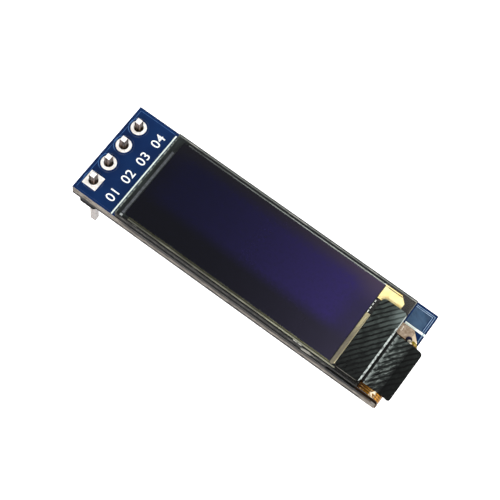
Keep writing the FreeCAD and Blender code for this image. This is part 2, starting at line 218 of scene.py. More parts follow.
ledge_end = glass_high.x + 0.02 * mm


def deselect():
    bpy.ops.object.select_all(action="DESELECT")


def select_only(piece):
    deselect()
    piece.select_set(True)
    bpy.context.view_layer.objects.active = piece


def settle(piece):
    """Puts a piece's place, turn and size into its mesh."""
    select_only(piece)
    bpy.ops.object.transform_apply(location=True, rotation=True, scale=True)
    return piece


def settle_new(scale):
    """Puts a size into the mesh of the piece that was just added."""
    bpy.context.object.scale = scale
    return settle(bpy.context.object)


def finish_piece(piece, name, material):
    piece.name = name
    piece.data.name = name
    piece.data.materials.clear()
    piece.data.materials.append(material)
    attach(piece, "root")


def join(pieces):
    deselect()
    for piece in pieces:
        piece.select_set(True)
    bpy.context.view_layer.objects.active = pieces[0]
    bpy.ops.object.join()
    return pieces[0]


def apply_modifier(piece, kind, **settings):
    """Works a modifier with these settings into a piece's mesh."""
    select_only(piece)
    modifier = piece.modifiers.new(kind.lower(), kind)
    for setting, value in settings.items():
        setattr(modifier, setting, value)
    bpy.ops.object.modifier_apply(modifier=modifier.name)


def select_mesh():
    bpy.ops.mesh.select_all(action="SELECT")


def open_mesh(piece):
    """Opens a piece's mesh for editing, with all of it selected."""
    select_only(piece)
    bpy.ops.object.mode_set(mode="EDIT")
    select_mesh()


def close_mesh():
    bpy.ops.object.mode_set(mode="OBJECT")


def bar(low, high, bevel=0.0):
    """A block between two corners, with its edges bevelled if asked."""
    deselect()
    low, high = Vector(low), Vector(high)
    bpy.ops.mesh.primitive_cube_add(size=1, location=(low + high) / 2)
    piece = settle_new(high - low)
    if bevel:
        apply_modifier(piece, "BEVEL", width=bevel, segments=2)
    return piece


def flat_ring(place, radius, wire, press=1.0, segments=64):
    """A ring of round wire that lies flat, pressed to a share of its height."""
    deselect()
    bpy.ops.mesh.primitive_torus_add(location=place, major_radius=radius, minor_radius=wire,
                                     major_segments=segments, minor_segments=8)
    return settle_new((1, 1, press))


def smooth(piece, angle=40):
    select_only(piece)
    bpy.ops.object.shade_smooth_by_angle(angle=math.radians(angle))
    return piece


# Materials

def srgb(text):
    """A colour written as in a paint chart, as the shader's own numbers."""
    parts = [int(text[i:i + 2], 16) / 255 for i in (0, 2, 4)]
    return tuple(((c + 0.055) / 1.055) ** 2.4 if c > 0.04045 else c / 12.92 for c in parts) + (1.0,)


def plug(socket, value):
    """Links a socket to an output, or sets it to a number, a vector or a paint chart's colour."""
    if isinstance(value, bpy.types.NodeSocket):
        socket.id_data.links.new(value, socket)
    else:
        socket.default_value = srgb(value) if isinstance(value, str) else value


def new_node(tree, kind, *first, **named):
    """A node with its first sockets plugged in their order, and others by their names."""
    node = tree.nodes.new(kind)
    for socket, value in zip(node.inputs, first):
        plug(socket, value)
    for name, value in named.items():
        plug(node.inputs[name], value)
    return node


def math_node(tree, operation, *values):
    node = new_node(tree, "ShaderNodeMath", *values)
    node.operation = operation
    return node.outputs[0]


class Finish:
    """A material under construction: its node tree and its one surface shader."""

    def __init__(self, name, colour, roughness, metallic=0.0):
        self.material = bpy.data.materials.new(name)
        self.material.use_nodes = True
        self.tree = self.material.node_tree
        self.shader = self.tree.nodes["Principled BSDF"]
        self.colour(colour).roughness(roughness).set("Metallic", metallic)
        self.place = new_node(self.tree, "ShaderNodeTexCoord").outputs["Object"]
        self.x, self.y, self.z = self.split(self.place)

    def set(self, socket, value):
        plug(self.shader.inputs[socket], value)
        return self

    def colour(self, value):
        return self.set("Base Color", value)

    def roughness(self, value):
        return self.set("Roughness", value)

    def specular(self, value):
        return self.set("Specular IOR Level", value)

    def bump(self, height, depth, strength=1.0):
        node = new_node(self.tree, "ShaderNodeBump", Height=height, Distance=depth, Strength=strength)
        return self.set("Normal", node.outputs["Normal"])

    def split(self, vector):
        """The three coordinates of a vector."""
        return list(new_node(self.tree, "ShaderNodeSeparateXYZ", vector).outputs)

    def stretched(self, scale, turn=0.0):
        """Object coordinates, turned about Z and then scaled in each direction."""
        turned = new_node(self.tree, "ShaderNodeMapping", self.place, Rotation=(0, 0, turn))
        return new_node(self.tree, "ShaderNodeMapping", turned.outputs[0], Scale=scale).outputs[0]

    def noise(self, size, detail=3, vector=None):
        """Cloudy pattern whose blots are about this long."""
        place = vector or self.place
        return new_node(self.tree, "ShaderNodeTexNoise", place, Scale=1 / size, Detail=detail).outputs["Fac"]

    def math(self, operation, *values):
        return math_node(self.tree, operation, *values)

    def times(self, first, *others):
        for other in others:
            first = self.math("MULTIPLY", first, other)
        return first

    def above(self, value, limit):
        """1 where the value is over the limit, else 0."""
        return self.math("GREATER_THAN", value, limit)

    def below(self, value, limit):
        return self.math("LESS_THAN", value, limit)

    def between(self, value, low, high):
        """1 where the value lies between two limits, else 0."""
        return self.times(self.above(value, low), self.below(value, high))

    def round_spot(self, place, radius):
        """1 within a radius of a place in plan, else 0."""
        x = self.math("POWER", self.math("SUBTRACT", self.x, place.x), 2)
        y = self.math("POWER", self.math("SUBTRACT", self.y, place.y), 2)
        return self.below(self.math("ADD", x, y), radius ** 2)

    def span(self, value, low, high, start=0.0, end=1.0, smooth_ends=True):
        """The value's share of the way from low to high, as a number between start and end."""
        node = new_node(self.tree, "ShaderNodeMapRange", value, low, high, start, end)
        node.interpolation_type = "SMOOTHSTEP" if smooth_ends else "LINEAR"
        return node.outputs["Result"]

    def patches(self, size, low=0.3, high=0.7, start=0.0, end=1.0, detail=3, scale=None):
        """Blots of noise, their grey levels from low to high spread over start to end."""
        blots = self.noise(size, detail, self.stretched(scale) if scale else None)
        return self.span(blots, low, high, start, end)

    def blend(self, share, first, second):
        """Colour that goes from first to second with the share."""
        node = new_node(self.tree, "ShaderNodeMix")
        node.data_type = "RGBA"
        for number, value in ((0, share), (6, first), (7, second)):
            plug(node.inputs[number], value)
        return node.outputs[2]

    def blend_four(self, share, along, *colours):
        """Goes with the share from the first two colours to the last two, each pair blended by along."""
        return self.blend(share, self.blend(along, *colours[:2]), self.blend(along, *colours[2:]))

    def mottled(self, first, second, size, low=0.3, high=0.7, detail=3):
        """Colours the finish in patches of this size, from first to second."""
        return self.colour(self.blend(self.patches(size, low, high, detail=detail), first, second))

    def let_lamps_through(self, tint):
        """Keeps the finish as it looks, but lets the lamps' light pass to what lies behind."""
        shadow = new_node(self.tree, "ShaderNodeLightPath").outputs["Is Shadow Ray"]
        clear = new_node(self.tree, "ShaderNodeBsdfTransparent", Color=tint)
        mix = new_node(self.tree, "ShaderNodeMixShader", shadow, self.shader.outputs[0], clear.outputs[0])
        plug(self.tree.nodes["Material Output"].inputs["Surface"], mix.outputs[0])
        return self.material


def under_ledge(f):
    """Deep shade on the mask beneath the overhanging glass."""
    past_stack = f.between(f.x, rear_high.x, glass_high.x)
    on_top = f.above(f.z, board_high.z - mask_skin)
    return f.times(past_stack, on_top)


def beside_fold(f):
    """Brown shade that the cable's fold throws on the mask."""
    x = f.span(f.x, glass_high.x - 0.1 * mm, glass_high.x + 0.05 * mm)
    y = f.span(f.y, board_low.y + 0.9 * mm, board_low.y + 1.3 * mm, 1.0, 0.0)
    return f.times(x, y)


def board_finish():
    """Blue solder mask on both faces, and laminate with its glass layers at the sides; painted shade and a
    painted glint on the mask, painted shade on the sides and a painted amber reflection at their cable end.
    """
    f = Finish("blue_mask_and_laminate", "0B2D63", 0.3)
    face = f.math("MAXIMUM", f.above(f.z, board_high.z - mask_skin), f.below(f.z, board_low.z + mask_skin))
    mask = f.blend(f.patches(3.5 * mm, 0.35), "071F47", "09264F")
    # Painted shade under the ledge, deepest towards the near side, and painted brown shade beside the fold
    near_side = f.span(f.y, board_low.y + 0.4 * mm, board_low.y + 1.1 * mm, 1.0, 0.0)
    mask = f.blend(under_ledge(f), mask, f.blend(near_side, "2F2C2B", "080707"))
    mask = f.blend(beside_fold(f), mask, "2A190B")
    # Painted shade under the ear's hole, and a painted glint seen through it
    mask = f.blend(f.round_spot(ear_hole, ear_shade_radius), mask, "1E1B2B")
    mask = f.blend(f.round_spot(ear_glint, ear_glint_radius), mask, "E2DCC8")
    # Painted shade along the mask's near edge beneath the glass
    rim = f.times(f.below(f.y, board_low.y + 0.12 * mm), f.above(f.x, glass_low.x))
    mask = f.blend(rim, mask, "161719")
    f.specular(0.22)
    weave = f.patches(0.18 * mm, 0.38, 0.62, detail=2, scale=(0.1, 0.1, 1))
    layers = f.blend(weave, "4A433D", "857D74")
    fibres = f.patches(0.16 * mm, 0.42, 0.68, detail=5, scale=(0.25, 0.25, 1))
    side = f.blend(fibres, layers, "9C948A")
    # Painted shade on the sides: darker along the bottom, and along the top beneath the glass, both fading
    # at the cable end
    ragged = f.patches(0.3 * mm, 0.3, 0.7, -0.13 * mm, 0.13 * mm, detail=4, scale=(0.3, 0.3, 1))
    height = f.math("ADD", f.z, ragged)
    lower = f.span(height, board_low.z + 0.3 * mm, board_low.z + 0.65 * mm, 1.0, 0.0)
    upper = f.span(height, board_high.z - 0.95 * mm, board_high.z - 0.4 * mm, 0.0, 0.95)
    upper = f.times(upper, f.span(f.x, glass_low.x - 0.2 * mm, glass_low.x + 1.6 * mm))
    at_end = f.span(f.x, board_high.x - 2.4 * mm, board_high.x - 0.9 * mm)
    lower = f.times(lower, f.span(at_end, 0, 1, 1.0, 0.0))
    upper = f.times(upper, f.span(at_end, 0, 1, 1.0, 0.3))
    side = f.blend(lower, f.blend(upper, side, "302D2B"), "100D0B")
    # Painted shade along the top of the sides past the rear glass, turning into a painted amber reflection
    # of the cable at the end
    crest = f.span(height, board_high.z - 0.55 * mm, board_high.z - 0.25 * mm)
    past_stack = f.between(f.x, rear_high.x, board_high.x - 0.5 * mm)
    side = f.blend(f.times(crest, past_stack), side, f.blend(at_end, "070606", "35250A"))
    f.colour(f.blend(face, side, mask))
    f.roughness(f.span(face, 0, 1, 0.75, 0.3))
    return f.bump(f.noise(0.5 * mm, 2), 0.004 * mm, 0.5).material


def raised_mask_finish(name="blue_mask_over_copper_edge"):
    """Mask over a copper edge, where it stands a little higher and looks paler."""
    f = Finish(name, "1D4C8C", 0.28)
    ridge = f.blend(f.patches(0.8 * mm), "143360", "2E5589")
    near = f.below(f.y, board_low.y + 0.4 * mm)
    return f.colour(f.blend(near, ridge, "0B2A57")).material


def ring_step_finish():
    """Mask over the step round a pad, with a painted highlight on the side away from the glass."""
    f = Finish("mask_over_pad_step", "09264F", 0.3)
    # Painted highlight on the side of the ring away from the glass
    lit = f.span(f.x, pin_row[0].x - 0.75 * mm, pin_row[0].x - 0.2 * mm, 1.0, 0.0)
    return f.colour(f.blend(lit, "081F42", f.blend(f.noise(0.6 * mm), "2F5A90", "4A76A8"))).material


def tab_finish():
    """Bare tab of mask over solid copper, greyed in streaks by a painted reflection."""
    f = Finish("blue_mask_over_copper", "2B4F78", 0.38)
    # Painted reflection: greyish streaks over the blue
    reflection_streaks = f.noise(1.1 * mm, 5, f.stretched((0.5, 1.2, 1), 0.6))
    f.colour(f.blend(f.span(reflection_streaks, 0.38, 0.68), "1B3149", "344E69"))
    return f.roughness(f.patches(0.6 * mm, 0.3, 0.7, 0.3, 0.5)).material


def bright_edge_finish():
    """Mask over the copper edges at the flex end, which catch the light."""
    return Finish("mask_over_bright_edge", "7690AA", 0.3).mottled("5F7E9C", "93A9BE", 0.5 * mm).material


def ground_rim_highlight_finish():
    """Ground rim of the glass, its pale grey a painted highlight along the edges, with brighter chips here
    and there.
    """
    f = Finish("ground_glass_rim_highlight", "8A8B88", 0.5)
    # Painted highlight: the pale grey of the rims
    chips = f.patches(0.6 * mm, 0.52, 0.66, detail=5, scale=(0.4, 0.4, 1))
    ground = f.blend(chips, "6A6D69", "8C8C86")
    near = f.below(f.y, glass_near)
    few = f.patches(0.9 * mm, 0.6, 0.7, detail=4, scale=(0.3, 1, 1))
    few = f.blend(few, "0E0F0E", "7E7D77")
    chipped = f.between(f.x, *rim_chip)
    few = f.blend(f.times(chipped, f.patches(0.25 * mm, 0.4, 0.5)), few, "D8D7CF")
    outer = f.above(f.y, glass_high.y - far_rim_dark)
    ground = f.blend(outer, ground, "161716")
    f.specular(0.1)
    left = f.below(f.x, glass_low.x + 0.2 * mm)
    dull = f.blend(f.patches(0.4 * mm, 0.4, 0.65, detail=4), "3C413E", "747A74")
    f.colour(f.blend(left, f.blend(near, ground, few), dull))
    return f.let_lamps_through("F2F4F2")


def ground_side_finish():
    """Dark ground side of the glass, with fine pale lines along it where it was scored."""
    f = Finish("ground_glass_side", "171817", 0.6)
    f.specular(0.06)
    scored = f.patches(0.16 * mm, 0.45, 0.7, scale=(0.05, 0.05, 1))
    specks = f.patches(0.22 * mm, 0.62, 0.72, detail=5, scale=(0.4, 0.4, 2))
    side = f.blend(scored, "030303", "201F1D")
    seam = f.between(f.z, glass_low.z - 0.1 * mm, glass_low.z + 0.06 * mm)
    broken = f.patches(0.8 * mm, 0.4, 0.6, 0.25, 1.0, detail=4)
    side = f.blend(f.times(seam, broken), side, "64635D")
    near = f.below(f.y, glass_near)
    along = f.math("DIVIDE", f.math("SUBTRACT", f.x, side_chip.x), side_chip_size.x)
    up = f.math("DIVIDE", f.math("SUBTRACT", f.z, side_chip.z), side_chip_size.z)
    off = f.math("ADD", f.math("POWER", along, 2), f.math("POWER", up, 2))
    off = f.math("ADD", off, f.patches(0.3 * mm, 0.3, 0.7, -0.6, 0.6, detail=4))
    chipped = f.times(near, f.span(off, 0.6, 1.1, 1.0, 0.0))
    side = f.blend(chipped, side, "8D8B82")
    f.colour(f.blend(specks, side, "6A6963"))
    return f.let_lamps_through("F2F4F2")


def ear_mark_finish():
    """Bare copper ring and dried flux, pale and patchy."""
    f = Finish("pale_ring_and_flux", "D9CDB8", 0.4)
    return f.mottled("B7A688", "F4EEE2", 0.12 * mm, 0.35, 0.65, 4).material


def print_finish(name="white_print", thin="E9EDEA", thick="F8FAF8"):
    """Printed ink, a little thin in places."""
    f = Finish(name, thick, 0.55).mottled(thin, thick, 0.25 * mm, 0.3, 0.65)
    return f.bump(f.noise(0.06 * mm, 2), 0.004 * mm, 0.6).material


def tin_finish(name="tin", hole=None):
    """Hot-dipped tin: bright and uneven, with painted shade down the bore of a hole at the place given."""
    f = Finish(name, "E9E4DC", 0.34, 0.15)
    tin = f.blend(f.patches(0.45 * mm, 0.35, detail=4), "FBF8F3", "DDD6CC")
    if hole:
        # Painted shade down the bore of the hole
        tin = f.blend(f.round_spot(hole, bore_radius + 0.02 * mm), tin, "140E0B")
    f.colour(tin)
    f.roughness(f.patches(0.3 * mm, 0.3, 0.7, 0.25, 0.45))
    return f.bump(f.noise(0.35 * mm, 3), 0.02 * mm, 0.5).material


def pin_finish():
    """Drawn and tinned pin: its cut tip near white as a painted highlight, tarnished brown up to there from
    the plastic, the brown darkening towards the board as painted shade.
    """
    f = Finish("tinned_pin", "D9CFC8", 0.3, 0.2)
    drawn = f.noise(0.08 * mm, 3, f.stretched((1, 1, 0.04)))
    # Painted highlight: the cut tip near white
    tip = f.above(f.z, pin_tip - pin_cut)
    bright = f.blend(tip, f.blend(f.span(drawn, 0.3, 0.7), "766C67", "9A908B"), "FAF7F4")
    # Painted shade: the brown darkens to near black towards the board
    rise = f.span(f.z, board_high.z, pin_tip)
    brown = f.blend_four(f.span(drawn, 0.48, 0.62), rise, "050303", "261B16", "66503F", "93807A")
    tarnished = f.between(f.z, land_low.z, pin_tip - pin_cut)
    f.colour(f.blend(tarnished, bright, brown))
    f.specular(0.2)
    f.specular(f.span(tarnished, 0, 1, 0.5, 0.08))
    f.set("Metallic", f.span(tarnished, 0, 1, 0.3, 0.0))
    return f.roughness(f.span(drawn, 0.3, 0.7, 0.2, 0.36)).material


def solder_finish():
    f = Finish("solder", "D8D8D6", 0.2, 1.0)
    f.roughness(f.patches(0.2 * mm, 0.35, 0.7, 0.14, 0.34, detail=4))
    return f.bump(f.noise(0.18 * mm, 2), 0.01 * mm, 0.5).material


def black_plastic_finish():
    """Matt moulded plastic."""
    f = Finish("black_plastic", "0D0D0D", 0.75).mottled("0A0A0A", "131312", 0.9 * mm)
    f.specular(0.05)
    return f.bump(f.noise(0.05 * mm, 2), 0.006 * mm, 0.5).material


def chip_moulding_finish():
    f = Finish("chip_moulding", "1E1E1F", 0.6).mottled("19191A", "262627", 0.12 * mm, 0.35, 0.65, 5)
    return f.bump(f.noise(0.04 * mm, 3), 0.006 * mm, 0.6).material


def clear_glass_finish():
    """Glass that bends light, and lets lamps reach what lies under it."""
    f = Finish("clear_glass", "FAFBFA", 0.0)
    f.set("Transmission Weight", 1.0).set("IOR", 1.5)
    skin = 0.02 * mm
    inside = f.times(f.between(f.x, glass_low.x + skin, glass_high.x - skin),
                     f.between(f.y, glass_low.y + skin, glass_high.y - skin))
    ground_edge = f.patches(0.5 * mm, 0.45, 0.6, detail=4, scale=(0.3, 1, 1))
    ground_edge = f.blend(ground_edge, "0B0C0C", "2E2F2D")
    f.colour(f.blend(inside, ground_edge, "FAFBFA"))
    smear = f.patches(2.5 * mm, 0.4, 0.8, 0.0, 0.03, detail=2)
    ground = f.span(inside, 0, 1, 0.7, 0.0)
    f.roughness(f.math("ADD", smear, ground))
    return f.let_lamps_through("F2F4F2")


def seal_finish():
    """Dark greenish-grey epoxy between the glasses."""
    f = Finish("seal_epoxy", "3A403D", 0.35)
    glue = f.blend(f.patches(0.6 * mm, detail=4, scale=(1, 0.25, 1)), "16191A", "2C3132")
    near = f.below(f.y, glass_low.y + 0.3 * mm)
    return f.colour(f.blend(near, glue, "060707")).material


def pale_gold_finish():
    """Contact area, bus lines, dashes and grey end bar on the back of the front glass, with a painted glint
    at the bar's near end.
    """
    f = Finish("pale_gold_film", "F6E3A4", 0.42, 0.1)
    x = f.x
    pad = f.blend(f.patches(0.9 * mm), "FFEDB0", "FFF4CE")
    bar_end = f.blend(f.patches(0.3 * mm, detail=4), "5A5B61", "777880")
    on_pad = f.times(f.above(x, film_high.x), f.above(f.y, 0.0))
    slit = f.times(f.between(f.y, metal_high.y - 0.22 * mm, metal_high.y - 0.13 * mm),
                   f.between(x, film_high.x + 0.4 * mm, metal_high.x - 0.55 * mm))
    # Brightness of the bus lines varies in patches and rises towards the cable end
    line_patches = f.patches(0.5 * mm, 0.35, 0.65, detail=4, scale=(0.2, 1, 1))
    to_flex = f.span(x, film_low.x, film_high.x - 6 * mm)
    near_line = f.blend_four(line_patches, to_flex, "78756A", "A39E90", "BAB5A7", "DAD5C5")
    far_line = f.blend_four(line_patches, to_flex, "66666A", "F2F2F5", "BCBCC2", "FFFFFF")
    line = f.blend(f.above(f.y, 0.0), near_line, far_line)
    dash = f.times(f.between(x, film_high.x, film_high.x + 0.25 * mm),
                   f.between(f.y, dashes_low, dashes_high))
    metal = f.blend(slit, f.blend(on_pad, line, pad), "2A251C")
    metal = f.blend(dash, metal, "FBFBFA")
    # Painted glint at the near end of the grey bar
    end_bar_glint = f.below(f.y, metal_low.y + 0.45 * mm)
    bar_end = f.blend(end_bar_glint, bar_end, "D2D2D6")
    return f.colour(f.blend(f.below(x, metal_low.x + 0.32 * mm), metal, bar_end)).material


def trace_field_finish():
    """Fine parallel lines, olive from a step away, painted lighter towards the tape and the far side beyond
    the film.
    """
    f = Finish("trace_field", "B5AC84", 0.5)
    lines = f.math("PINGPONG", f.y, 0.03 * mm)
    share = f.span(lines, 0.004 * mm, 0.026 * mm)
    to_flex = f.span(f.x, film_high.x - 14 * mm, film_high.x)
    beside_film = f.blend_four(share, to_flex, "3A3828", "6E6A4C", "56523C", "8F8A66")
    # Painted light: beyond the film the lines grow lighter towards the tape and the far side
    to_tape = f.span(f.x, tape_low.x - 0.22 * mm, tape_low.x - 0.08 * mm)
    lit = f.math("MAXIMUM", to_tape, f.span(f.y, -1.8 * mm, 0.4 * mm))
    beyond_film = f.blend_four(share, lit, "8C8170", "C4B896", "A49A86", "E2D6B4")
    last = f.span(f.x, tape_low.x - 0.13 * mm, tape_low.x - 0.05 * mm)
    beyond_film = f.blend(last, beyond_film, "FFF6DE")
    past_edge = f.span(f.x, film_high.x + 0.02 * mm, film_high.x + 0.12 * mm)
    beyond_film = f.blend(past_edge, "3A332B", beyond_film)
    return f.colour(f.blend(f.above(f.x, film_high.x), beside_film, beyond_film)).material


def polarizer_finish():
    """Glossy film, near black, with a painted violet glow over the lit part of the pixels' field and a
    painted sheen rising towards the far side and the cable end.
    """
    f = Finish("polarizer_film", "1B1C22", 0.12)
    x, y = f.x, f.y
    length = film_high.x - film_low.x
    along = f.span(x, film_low.x, film_high.x, smooth_ends=False)
    late = f.math("POWER", along, 3)
    # Painted sheen, rising towards the far side and the cable end
    far_sheen = f.span(y, film_high.y - 3.6 * mm, film_high.y - 0.2 * mm)
    ground = f.blend_four(far_sheen, late, "03030B", "242130", "0E0D13", "3B3244")
    # Painted violet glow over the pixels' field
    violet = f.blend(f.math("POWER", along, 2), "03031C", "2A2153")
    near = f.span(y, film_low.y + 2.1 * mm, film_low.y + 4.0 * mm)
    far = f.span(y, film_high.y - 2.0 * mm, film_high.y, 1.0, 0.0)
    rise = f.span(x, film_low.x - 0.06 * length, film_low.x + 0.12 * length)
    fall = f.span(x, film_high.x - 0.14 * length, film_high.x - 0.02 * length, 1.0, 0.25)
    glow = f.times(rise, fall, near, far)
    speckle = f.patches(0.35 * mm, 0.3, 0.7, 0.8, 1.15, detail=6)
    f.colour(f.blend(f.times(glow, speckle), ground, violet))
    f.specular(0.45)
    return f.material


def polyimide_finish():
    """Amber film over copper traces that run along the cable, with painted shade towards the glass edge and
    painted glints near the fold; the bare ear is pinkish tan, with a painted highlight on its outer band.
    """
    f = Finish("polyimide_cable", "9C5E12", 0.26)
    x, y = f.x, f.y
    pitch = 0.25 * mm
    lines = f.span(f.math("PINGPONG", y, pitch / 2), 0.02 * mm, 0.07 * mm)
    # Painted shade: the amber darkens towards the glass edge
    out = f.span(x, glass_high.x + 0.1 * mm, board_high.x)
    amber = f.blend_four(lines, out, "0C0703", "4A2E06", "402608", "A06C12")
    # Painted glints along the traces, and a painted band of bright glints short of the fold
    glints = f.patches(0.25 * mm, 0.56, 0.7, detail=4, scale=(0.6, 1.6, 1))
    amber = f.blend(f.times(glints, lines, 0.6), amber, "D9AE6C")
    bright = f.times(f.span(x, glass_high.x + 1.35 * mm, glass_high.x + 1.65 * mm),
                     f.span(x, glass_high.x + 1.85 * mm, glass_high.x + 2.1 * mm, 1.0, 0.0),
                     f.patches(0.22 * mm, 0.42, 0.5, detail=4), f.above(f.z, board_high.z))
    amber = f.blend(bright, amber, "FFF3D6")
    # Painted shade under the glass and the tape's edge
    amber = f.blend(f.below(x, glass_high.x + 0.1 * mm), amber, "14110D")
    tan = f.blend(f.patches(0.3 * mm, detail=4), "85725E", "AB9986")
    # Painted highlight on the ear's outer band
    tan = f.blend(f.span(x, glass_high.x + 1.55 * mm, glass_high.x + 1.7 * mm), tan, "CDBB9F")
    gold_bit = f.times(f.below(y, ear_hole.y + 0.12 * mm),
                       f.span(x, ear_hole.x + 0.3 * mm, ear_hole.x + 0.45 * mm))
    tan = f.blend(gold_bit, tan, "6E5F16")
    f.colour(f.blend(f.above(y, flex_high.y - ear_depth), amber, tan))
    f.set("Metallic", 0.25).specular(0.25)
    return f.bump(lines, 0.012 * mm, 0.6).material


def tape_finish():
    """Black satin tape, with a painted sheen on the crests of its ribs, painted highlights along its crease
    and far corner, a painted reflection at its foot, painted shade in the drop and over the flap, and pale
    scuffs on the tail.
    """
    f = Finish("black_ribbed_tape", "24282A", 0.33)
    x = f.x
    turn = math.radians(-ridge_angle)
    wander = f.span(f.noise(ridge_wander_size, 2), 0, 1, -ridge_wander, ridge_wander, smooth_ends=False)
    across = f.math("ADD", f.split(f.stretched((1, 1, 1), turn))[1], wander)
    off_valley = f.math("PINGPONG", across, ridge_pitch / 2)
    crest = f.span(off_valley, 0.035 * mm, 0.14 * mm)
    patchy = f.times(crest, f.patches(0.9 * mm, 0.3, 0.65, 0.3, 1.0, detail=4))
    fine = f.noise(0.07 * mm, 3, f.stretched((0.25, 1, 1), turn))
    rubbed = f.noise(0.13 * mm, 6, f.stretched((0.3, 1.1, 1), turn))
    tail = f.between(x, glass_high.x + 0.3 * mm, board_high.x - 0.35 * mm)
    # Painted sheen on the crests of the ribs, stronger towards the far side
    to_far = f.span(f.y, tape_low.y, tape_high.y - 0.8 * mm)
    ribs = f.blend(patchy, "020303", f.blend(to_far, "171A19", "3C4340"))
    middle = f.span(f.y, tape_high.y - 4.5 * mm, tape_high.y - 1.9 * mm, 1.0, 0.3)
    wide = f.span(off_valley, 0.05 * mm, 0.17 * mm, 0.05, 0.6)
    ribs = f.blend(f.times(f.span(rubbed, 0.42, 0.8), middle, wide, tail), ribs, "98A29D")
    # Painted reflection: pale mottling at the foot of the drop
    foot = f.span(x, glass_high.x + 0.35 * mm, glass_high.x + 0.75 * mm, 0.6, 0.0)
    foot = f.times(foot, f.patches(0.3 * mm, 0.35, 0.6, detail=4), tail)
    ribs = f.blend(foot, ribs, "98A29E")
    # Painted highlights on the head's far corner and at the far end of the glass edge
    corner = f.times(f.span(x, glass_high.x - 1.8 * mm, glass_high.x - 0.3 * mm),
                     f.span(f.y, tape_high.y - 2.6 * mm, tape_high.y - 0.6 * mm),
                     f.below(x, ledge_end), f.span(crest, 0, 1, 0.35, 0.9))
    ribs = f.blend(corner, ribs, "65706D")
    far_end_highlight = f.times(f.between(x, glass_high.x - 0.09 * mm, ledge_end),
                      f.span(f.y, tape_high.y - 2.2 * mm, tape_high.y - 1.6 * mm))
    ribs = f.blend(far_end_highlight, ribs, "AEB6B2")
    ribs = f.blend(f.below(f.y, tape_low.y + 0.04 * mm), ribs, "5C5B54")
    # Painted shade over the flap at the board's end
    ribs = f.blend(f.span(x, board_high.x - 1.0 * mm, board_high.x - 0.3 * mm, 0, 0.8), ribs, "080909")
    # Painted highlight along the crease over the glass edge
    crease_highlight = f.times(f.between(x, glass_high.x - crease_width, ledge_end),
                      f.patches(0.3 * mm, 0.38, 0.58, 0.15, 1.0, detail=4),
                      f.between(f.y, tape_low.y, crease_stop))
    ribs = f.blend(crease_highlight, ribs, "B4BCB8")
    # Painted shade in the steep drop past the glass edge
    gap = f.between(x, glass_high.x + 0.03 * mm, glass_high.x + 0.32 * mm)
    f.colour(f.blend(gap, ribs, "030404"))
    outer = f.span(x, board_high.x - 0.6 * mm, board_high.x - 0.2 * mm)
    f.specular(0.2)
    f.specular(f.span(f.math("MAXIMUM", gap, outer), 0, 1, 0.25, 0.06))
    flap = f.span(x, board_high.x - 0.5 * mm, board_high.x, 0.0, 0.3)
    f.roughness(f.math("ADD", f.span(fine, 0.3, 0.7, 0.26, 0.46), flap))
    return f.bump(fine, 0.006 * mm, 0.5).material


def paper_white_finish(name, pale, dark):
    return Finish(name, pale, 0.8).mottled(pale, dark, 0.4 * mm, detail=4).material


def silicon_finish():
    return Finish("silicon", "3C3D44", 0.15, 0.6).mottled("33343B", "4A4B55", 0.8 * mm).material


def chip_part_finish(name, place, ceramic, darker):
    """Ceramic between two tinned ends, told apart by the distance from the part's middle."""
    f = Finish(name, ceramic, 0.45)
    low, high = place
    off = f.math("ABSOLUTE", f.math("SUBTRACT", f.x, (low.x + high.x) / 2))
    end = f.above(off, (high.x - low.x) / 2 - 0.3 * mm)
    body = f.blend(f.patches(0.15 * mm, detail=4), ceramic, darker)
    f.colour(f.blend(end, body, "D9D5CE"))
    f.set("Metallic", end)
    return f.roughness(f.span(end, 0, 1, 0.5, 0.3)).material


def dress_nodes():
    """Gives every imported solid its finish."""
    tin, pin, glass, solder = tin_finish(), pin_finish(), clear_glass_finish(), solder_finish()
    finishes = {
        "circuit_board": board_finish(), "header_body": black_plastic_finish(),
        "panel_adhesive": paper_white_finish("white_foam_tape", "E6E5E0", "D3D1CB"),
        "rear_glass": glass, "front_glass": glass,
        "desiccant_sheet": paper_white_finish("drying_sheet", "DEDCD2", "C9C6BA"),
        "edge_seal": seal_finish(), "pixel_layer": silicon_finish(), "driver_chip": silicon_finish(),
        "panel_metal": pale_gold_finish(), "fan_out_traces": trace_field_finish(),
        "polarizer": polarizer_finish(),
        "flex_cable": polyimide_finish(), "shield_tape": tape_finish(), "cable_lands": tin,
        "component_lands": tin, "cable_solder": solder, "solder_joints": solder,
        "regulator_body": chip_moulding_finish(), "regulator_leads": tin,
    }
    for name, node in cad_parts.items():
        if name.startswith("plated_hole"):
            finishes[name] = tin_finish("tin_of_hole_" + name[-1], pin_row[int(name[-1]) - 1])
        if name.startswith("header_pin"):
            finishes[name] = pin
        if name.startswith("capacitor"):
            finishes[name] = chip_part_finish(name + "_ends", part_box(name), "A98560", "8E6C4A")
        if name.startswith("resistor"):
            finishes[name] = chip_part_finish(name + "_ends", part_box(name), "17171A", "232327")
        node.data.materials.clear()
        node.data.materials.append(finishes[name])
    return finishes


# Printed marks

def flat_text(text, height):
    """Upright figures lying flat, with their middle at the origin, as a thin solid."""
    deselect()
    bpy.ops.object.text_add()
    piece = bpy.context.object
    piece.data.body = text
    piece.data.align_x = piece.data.align_y = "CENTER"
    piece.data.extrude = print_height / height / 2
    piece.data.offset = number_weight
    piece.data.space_character = number_spacing
    bpy.ops.object.convert(target="MESH")
    piece = bpy.context.object
    open_mesh(piece)
    bpy.ops.mesh.remove_doubles(threshold=number_weld)
    bpy.ops.mesh.normals_make_consistent(inside=False)
    close_mesh()
    levels = [vertex.co.y for vertex in piece.data.vertices]
    size = height / (max(levels) - min(levels))
    piece.scale = (size, size, height)
    return settle(piece)


